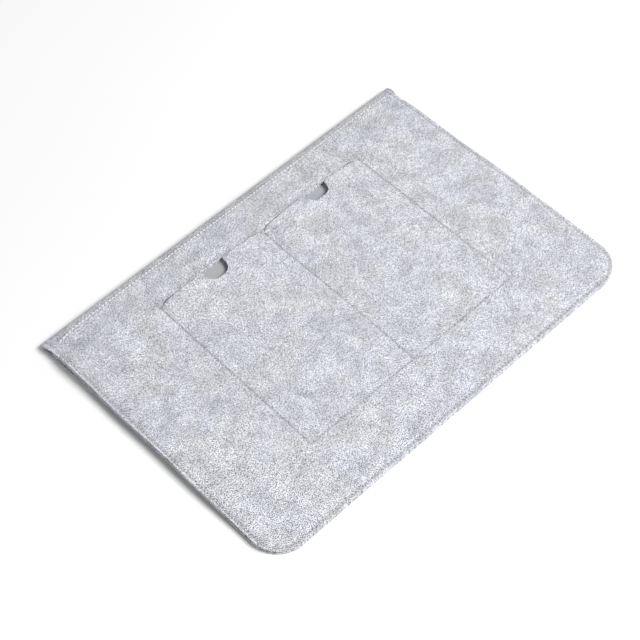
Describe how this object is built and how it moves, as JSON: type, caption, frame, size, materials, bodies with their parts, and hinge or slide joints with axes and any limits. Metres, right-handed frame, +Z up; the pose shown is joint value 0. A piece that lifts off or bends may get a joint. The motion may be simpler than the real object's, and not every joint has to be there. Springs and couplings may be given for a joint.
{
  "type": "laptop sleeve",
  "caption": "Flat grey felt laptop sleeve with a fold-over flap held by hook-and-loop tapes, a lined compartment and two notched pockets on its back.",
  "frame": {"origin": "on the surface the sleeve lies on, under the middle of its bounding box, with the flap closed underneath and the pocket side up", "axes": "+X along the fold, +Y from the sewn bottom edge to the fold, +Z up, away from the flap"},
  "size_m": [0.345, 0.246, 0.0182],
  "materials": {
    "felt": "pressed wool-look felt, light grey marl, matt",
    "lining": "brushed flannel, mid grey, matt",
    "hook_tape": "woven nylon tape with fine hooks, satin",
    "loop_tape": "woven tape with a brushed loop pile, matt",
    "thread": "twisted polyester sewing thread, slight sheen"
  },
  "bodies": {
    "sleeve": {"front_panel": "felt", "front_lining": "lining", "back_panel": "felt", "back_lining": "lining", "pocket_backing": "lining", "loop_tape_left": "loop_tape", "loop_tape_right": "loop_tape", "rim_seam_thread": "thread", "pocket_outline_thread": "thread", "pocket_divider_thread": "thread", "fold_crease_thread": "thread", "mouth_hem_thread": "thread", "loop_thread_left": "thread", "loop_thread_right": "thread"},
    "fold": {"fold_strip": "felt", "fold_lining": "lining"},
    "flap": {"flap_panel": "felt", "flap_lining": "lining", "flap_edge_thread": "thread", "hook_tape_left": "hook_tape", "hook_tape_right": "hook_tape", "hook_thread_left": "thread", "hook_thread_right": "thread"}
  },
  "joints": [
    {"name": "fold_upper_bend", "type": "hinge", "parent": "sleeve", "child": "fold", "pos_m": [0, 0.1219, 0.0129], "axis": [1, 0, 0], "range_deg": [0, 90]},
    {"name": "fold_lower_bend", "type": "hinge", "parent": "fold", "child": "flap", "pos_m": [0, 0.1219, 0.0011], "axis": [1, 0, 0], "range_deg": [0, 90]}
  ],
  "couplings": [
    {"joint": "fold_lower_bend", "follows": "fold_upper_bend", "ratio": 1}
  ]
}
